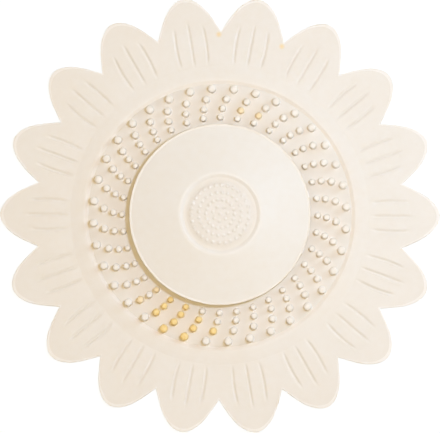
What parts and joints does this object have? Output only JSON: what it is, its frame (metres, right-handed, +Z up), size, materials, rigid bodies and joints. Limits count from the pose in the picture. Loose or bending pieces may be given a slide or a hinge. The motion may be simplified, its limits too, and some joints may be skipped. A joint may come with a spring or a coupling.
{
  "type": "drain hair catcher",
  "caption": "Flower-shaped soft drain mat with a ring of pegs that hold hair and a press-down cap that closes the drain.",
  "frame": {"origin": "centre of the mat on the surface that it lies on", "axes": "+Z up through the cap, +X through the tip of a petal"},
  "size_m": [0.15, 0.1478, 0.0122],
  "materials": {
    "soft_cream": "matte cream silicone",
    "stiff_cream": "satin cream moulded plastic",
    "dark_rubber": "black rubber",
    "steel": "bare stainless steel"
  },
  "bodies": {
    "mat": {"petal_mat": "soft_cream", "peg_ring": "soft_cream", "drain_grate": "stiff_cream", "friction_ring": "dark_rubber"},
    "stem": {"stem": "stiff_cream", "stem_clip": "steel"},
    "cap": {"cap": "stiff_cream", "cap_retainer": "stiff_cream", "seal_ring": "soft_cream", "press_button": "soft_cream"}
  },
  "joints": [
    {"name": "cap_press", "type": "slide", "parent": "mat", "child": "stem", "axis": [0, 0, 1], "range_m": [-0.0045, 0]},
    {"name": "cap_turn", "type": "hinge", "parent": "stem", "child": "cap", "pos_m": [0, 0, 0.009], "axis": [0, 0, 1], "continuous": true}
  ]
}
